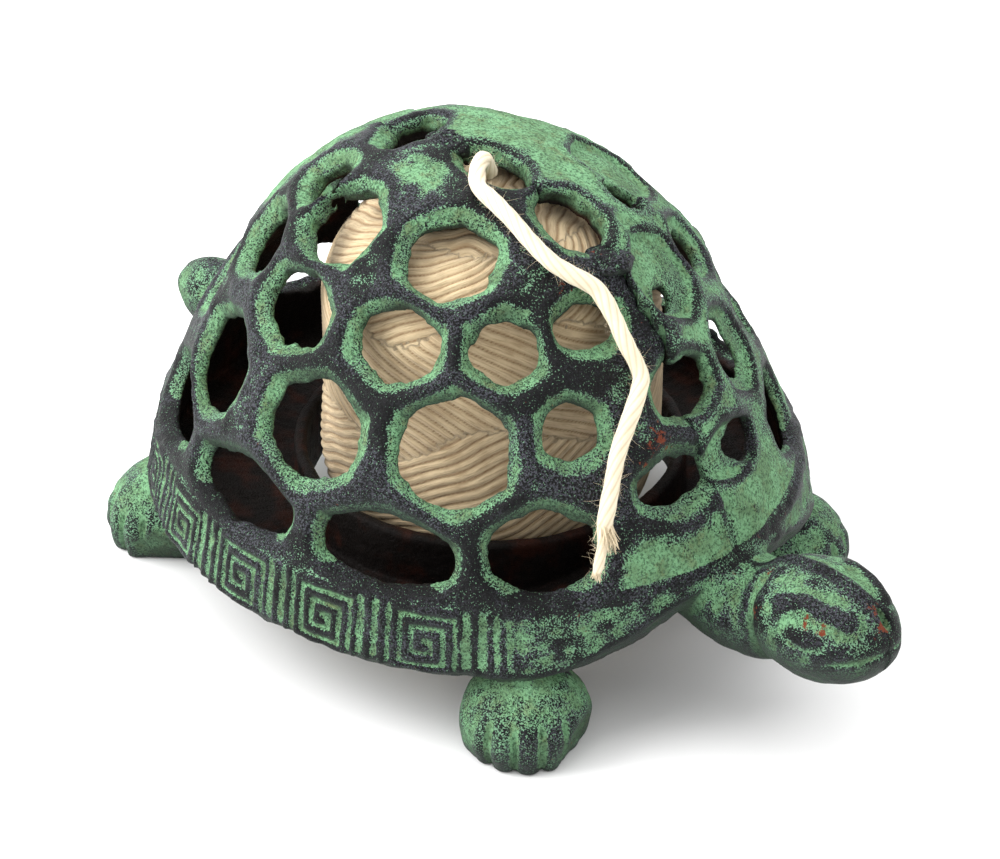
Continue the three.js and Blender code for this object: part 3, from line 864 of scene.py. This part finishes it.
def make_ball():
    """The wound ball: bands of strands that cross round its sides, and two that cross over each end."""
    places, radius, height, out = ball_profile(BALL_ROWS)
    turn = BALL_BACK + np.linspace(0, 2 * math.pi, BALL_COLUMNS, endpoint=False)[None, :]
    along, r, z = places[:, None], radius[:, None], height[:, None]
    wave = 3.2 * np.sin(3 * turn + 0.6) + 2.1 * np.sin(5 * turn + 2) + 1.2 * np.sin(8 * turn)
    steep = STRANDS / (BALL_RADIUS * math.tan(STRAND_SLOPE))
    drift = 1.7 * np.sin(2 * turn + along / 9) + 1.1 * np.sin(7 * turn - along / 6)
    drift = drift + 0.6 * np.sin(13 * turn + along / 3.7)
    x, y = r * np.cos(turn), r * np.sin(turn)
    caps = [(math.cos(a), math.sin(a)) for a in (0.5, 2.1)]
    over = [x * c + y * s + 0.004 * (x * x + y * y) for c, s in caps]
    beside = [y * c - x * s for c, s in caps]
    round_ball = BALL_RADIUS * (turn - BALL_BACK)
    rising, falling = STRANDS * turn - steep * along + drift, STRANDS * turn + steep * along + drift
    spine = z + wave
    cap = 2 * math.pi / CAP_STRAND
    layers = [  # the strands' phase, the distance along them and where they are on top
        (rising, round_ball + along / 2, 1 - smoothstep(spine, 46, 51)),
        (falling, round_ball - along / 2, smoothstep(spine, 45, 50) * (1 - smoothstep(spine, 72, 77))),
        (rising + 2, round_ball + along / 2, smoothstep(spine, 71, 76) * smoothstep(r, 17, 21)),
        (over[0] * cap + drift, beside[0], (1 - smoothstep(r, 17, 22)) * smoothstep(y + wave, -2, 2)),
        (over[1] * cap + drift, beside[1], (1 - smoothstep(r, 16, 21)) * (1 - smoothstep(y + wave, -3, 1))),
    ]
    shape = np.broadcast(along, turn).shape
    phases = np.stack([np.broadcast_to(phase, shape) for phase, _, _ in layers])
    runs = np.stack([np.broadcast_to(run, shape) for _, run, _ in layers])
    tops = np.stack([strand_height(phase, run / 5) for phase, run in zip(phases, runs)])
    shares = np.stack([np.broadcast_to(share, shape) for _, _, share in layers])
    rise = STRAND_RISE * tops + ZONE_STEP * shares
    upper = np.argmax(rise, axis=0)[None]
    chosen = lambda stack: np.take_along_axis(stack, upper, axis=0)[0]
    swell = 0.6 * np.sin(3 * turn + along / 13) + 0.5 * np.sin(4 * turn - along / 17 + 1)
    lift = chosen(rise) - STRAND_RISE - ZONE_STEP - BALL_SLACK + swell * smoothstep(r, 2, 14)
    reach = r + out[:, :1] * lift
    points = np.stack(
        [COLLAR_X + reach * np.cos(turn), reach * np.sin(turn), z + out[:, 1:] * lift + 0 * turn], axis=-1
    ).reshape(-1, 3)
    points[:, 2] = np.maximum(points[:, 2], BALL_LIFT * 0.5)
    attributes = {
        "height": chosen(tops).reshape(-1),
        "across": chosen(phases).reshape(-1) * CAP_STRAND / (2 * math.pi),
        "run": chosen(runs).reshape(-1),
    }
    faces = ring_faces(BALL_ROWS, BALL_COLUMNS)
    ball = add_mesh("twine_ball_strands", points, faces, "ball", attributes)
    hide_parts("twine_ball")
    return ball


ball = make_ball()

# ---- materials ------------------------------------------------------------------------------------------


def colour(red, green, blue):
    """A colour as it looks on a screen, from 0 to 255, as the linear colour that Blender takes."""
    channels = (red, green, blue)
    return tuple(((c / 255 + 0.055) / 1.055) ** 2.4 if c > 10 else c / 3294.6 for c in channels) + (1,)


class Nodes:
    """A material and the short ways to add nodes to it."""

    def __init__(self, name):
        self.material = bpy.data.materials.new(name)
        self.material.use_nodes = True
        self.tree = self.material.node_tree
        self.shader = self.tree.nodes["Principled BSDF"]
        self.place = self.add("TexCoord").outputs["Object"]

    def add(self, kind, inputs=None, **settings):
        made = self.tree.nodes.new("ShaderNode" + kind)
        for key, value in settings.items():
            setattr(made, key, value)
        for key, value in (inputs or {}).items():
            self.put(made.inputs[key], value)
        return made

    def put(self, socket, value):
        if isinstance(value, bpy.types.NodeSocket):
            self.tree.links.new(value, socket)
        else:
            socket.default_value = value

    def noise(self, millimetres, detail=3, rough=0.55, offset=0):
        """Noise with lumps of about that size."""
        place = self.add("VectorMath", {0: self.place, 1: (offset, offset * 0.7, -offset)}, operation="ADD")
        inputs = {"Vector": place.outputs[0], "Scale": 1000 / millimetres}
        inputs |= {"Detail": detail, "Roughness": rough}
        return self.add("TexNoise", inputs).outputs["Fac"]

    def attribute(self, name):
        return self.add("Attribute", attribute_name=name).outputs["Fac"]

    def ramp(self, value, low, high, to_low=0, to_high=1):
        inputs = {"Value": value, "From Min": low, "From Max": high, "To Min": to_low, "To Max": to_high}
        return self.add("MapRange", inputs, interpolation_type="SMOOTHSTEP").outputs["Result"]

    def math(self, operation, a, b=0.0, c=0.0):
        return self.add("Math", {0: a, 1: b, 2: c}, operation=operation).outputs[0]

    def mix(self, share, a, b):
        inputs = {0: share, 6: a, 7: b}
        return self.add("Mix", inputs, data_type="RGBA").outputs[2]

    def finish(self, base, rough, bumps):
        """Joins up the shader; bumps are (height, distance in millimetres), coarse to fine."""
        normal = None
        for height, distance in bumps:
            inputs = {"Height": height, "Distance": distance * MM, "Strength": 1.0}
            if normal is not None:
                inputs["Normal"] = normal
            normal = self.add("Bump", inputs).outputs["Normal"]
        self.put(self.shader.inputs["Base Color"], base)
        self.put(self.shader.inputs["Roughness"], rough)
        if normal is not None:
            self.put(self.shader.inputs["Normal"], normal)
        return self.material


GREEN = colour(97, 129, 93)
PALE_GREEN = colour(116, 162, 120)
SPECK_GREEN = colour(112, 151, 123)
DEEP_GREEN = colour(36, 56, 40)
OCHRE = colour(104, 92, 58)
CHARCOAL = colour(13, 13, 14)
# Grey of the sheen painted on the worn charcoal.
PAINTED_SHEEN_GREY = colour(64, 65, 72)
# Grey-green of the shade painted on surfaces that face down.
UNDERSIDE_PAINTED_SHADE = colour(44, 50, 46)
RUST = colour(108, 52, 34)
INNER_DARK = colour(20, 16, 14)
INNER_RUST = colour(50, 25, 17)
MOST_WORN = 0.82
FIBRE_WIDTH = 0.45  # of the streaks along the ball's strands
FIBRE_LENGTH = 6


def iron_material(name, rustiness):
    """Green patina in the hollows, worn on the high places to charcoal with specks of green and grey; the
    grey specks are painted sheen, and undersides get painted shade.
    """
    m = Nodes(name)
    ridge, inside, bulge, spot = (m.attribute(key) for key in ("ridge", "inside", "bulge", "rust"))
    grain = m.noise(0.34, 2, 0.6)
    wear = m.math("ADD", m.ramp(ridge, 0.42, 0.92, 0.06, 0.8), m.ramp(bulge, -0.1, 0.2, -0.22, 0.34))
    wear = m.math("ADD", wear, m.ramp(m.noise(14, 4, 0.6), 0.3, 0.7, -0.12, 0.12))
    wear = m.math("MINIMUM", wear, MOST_WORN)
    cover = m.math("MULTIPLY_ADD", wear, 0.5, m.math("SUBTRACT", grain, 0.74))
    dark = m.ramp(cover, -0.03, 0.03)
    green = m.mix(m.ramp(m.noise(6, 5, 0.65, 3), 0.36, 0.6), GREEN, PALE_GREEN)
    green = m.mix(m.ramp(m.noise(3.4, 5, 0.7, 27), 0.52, 0.66, 0, 0.4), green, OCHRE)
    green = m.mix(m.ramp(m.noise(0.6, 4, 0.7, 7), 0.45, 0.62, 0, 0.75), green, DEEP_GREEN)
    green = m.mix(m.ramp(m.noise(0.5, 3, 0.7, 31), 0.56, 0.66, 0, 0.5), green, SPECK_GREEN)
    green = m.mix(m.ramp(wear, 0.35, 0.6, 0, 0.8), green, SPECK_GREEN)
    # Painted sheen: fine grey specks over the charcoal, in patches.
    sheen_specks = m.ramp(m.noise(0.4, 2, 0.7, 11), 0.5, 0.56)
    sheen_specks = m.math("MULTIPLY", sheen_specks, m.ramp(m.noise(12, 3, 0.5, 13), 0.42, 0.58, 0.1, 1))
    base = m.mix(dark, green, m.mix(sheen_specks, CHARCOAL, PAINTED_SHEEN_GREY))
    # Painted shade: surfaces that face down are mixed towards a dark grey-green.
    down = m.add("SeparateXYZ", {0: m.add("NewGeometry").outputs["Normal"]}).outputs["Z"]
    base = m.mix(m.ramp(down, 0.4, -0.5, 0, 0.85), base, UNDERSIDE_PAINTED_SHADE)
    rust = m.math("MULTIPLY_ADD", spot, 0.22, m.noise(2.2, 5, 0.75, 19))
    rust = m.ramp(m.math("ADD", rust, rustiness), 0.7, 0.76)
    base = m.mix(rust, base, RUST)
    hidden = m.mix(m.ramp(m.noise(7, 4, 0.6, 23), 0.45, 0.7), INNER_DARK, INNER_RUST)
    base = m.mix(inside, base, hidden)
    rough = m.ramp(dark, 0, 1, 0.8, 0.5)
    bumps = [(m.noise(2.2, 4, 0.6, 5), 0.5), (grain, 0.32)]
    m.shader.inputs["Specular IOR Level"].default_value = 0.12
    return m.finish(base, rough, bumps)


def twine_material(name, light, shade_and_tone, wound=False):
    """Soft cotton, with painted shade between the plies and strands; on the ball, with the strands' fibres
    running along them.
    """
    m = Nodes(name)
    # Painted shade: darker from the tops of the plies and strands down into the creases between them.
    base = m.mix(m.ramp(m.attribute("height"), 0.05, 0.8), shade_and_tone, light)
    base = m.mix(m.ramp(m.noise(5, 3), 0.35, 0.75, 0, 0.35), base, shade_and_tone)
    bumps = [(m.noise(0.5, 3, 0.6), 0.1)]
    if wound:
        across = m.math("MULTIPLY", m.attribute("across"), 1 / FIBRE_WIDTH)
        run = m.math("MULTIPLY", m.attribute("run"), 1 / FIBRE_LENGTH)
        place = m.add("CombineXYZ", {0: across, 1: run}).outputs[0]
        inputs = {"Vector": place, "Scale": 1.0, "Detail": 3.0, "Roughness": 0.6}
        fibres = m.add("TexNoise", inputs).outputs["Fac"]
        base = m.mix(m.ramp(fibres, 0.42, 0.72, 0, 0.55), base, shade_and_tone)
        bumps = [(fibres, 0.35)]
    m.shader.inputs["Sheen Weight"].default_value = 0.2
    m.shader.inputs["Sheen Roughness"].default_value = 0.5
    m.shader.inputs["Specular IOR Level"].default_value = 0.15
    return m.finish(base, 0.92, bumps)


def assign(objects, material):
    for made in objects:
        made.data.materials.clear()
        made.data.materials.append(material)


iron = iron_material("verdigris_iron", 0.02)
dark_iron = iron_material("dark_iron", 0.06)
assign(castings, iron)
assign(tacks, dark_iron)
# Each twine's second colour is its painted shade between plies and strands, and also the tone of its darker
# fibres.
assign(loose_end, twine_material("cotton_twine", colour(232, 220, 195), colour(212, 196, 166)))
assign([ball], twine_material("wound_twine", colour(224, 202, 164), colour(152, 122, 88), wound=True))
for node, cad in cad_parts.items():
    assign([cad], dark_iron if "collar" in node or "floor" in node or "tack" in node else iron)

# ---- table and light ------------------------------------------------------------------------------------


TABLE_HALF = 3.0  # metres


def make_table():
    mesh = bpy.data.meshes.new("table")
    half = TABLE_HALF
    corners = [(-half, -half, 0), (half, -half, 0), (half, half, 0), (-half, half, 0)]
    mesh.from_pydata(corners, [], [(0, 1, 2, 3)])
    table = bpy.data.objects.new("table", mesh)
    bpy.context.scene.collection.objects.link(table)
    m = Nodes("table")
    assign([table], m.finish(colour(236, 236, 236), 0.9, []))


def make_light(name, size, power, azimuth, height, distance):
    """A soft square light aimed at the turtle; azimuth is from its front towards its right."""
    data = bpy.data.lights.new(name, "AREA")
    data.shape, data.size, data.energy = "SQUARE", size, power
    light = bpy.data.objects.new(name, data)
    a, h = math.radians(azimuth), math.radians(height)
    away = Vector((math.cos(h) * math.cos(a), -math.cos(h) * math.sin(a), math.sin(h)))
    light.location = Vector(in_row((0, 0, 50))) + away * distance
    light.rotation_euler = (-away).to_track_quat("-Z", "Y").to_euler()
    bpy.context.scene.collection.objects.link(light)


make_table()
make_light("soft_box_above", 2.8, 50, 190, 60, 1.7)
make_light("soft_box_left", 0.8, 17, 135, 30, 1.2)
make_light("soft_box_right", 0.8, 3, -30, 35, 1.2)
world = bpy.data.worlds.new("studio")
world.use_nodes = True
world.node_tree.nodes["Background"].inputs["Color"].default_value = (1, 1, 1, 1)
world.node_tree.nodes["Background"].inputs["Strength"].default_value = 0.98
bpy.context.scene.world = world
bpy.context.scene.view_settings.view_transform = "Standard"
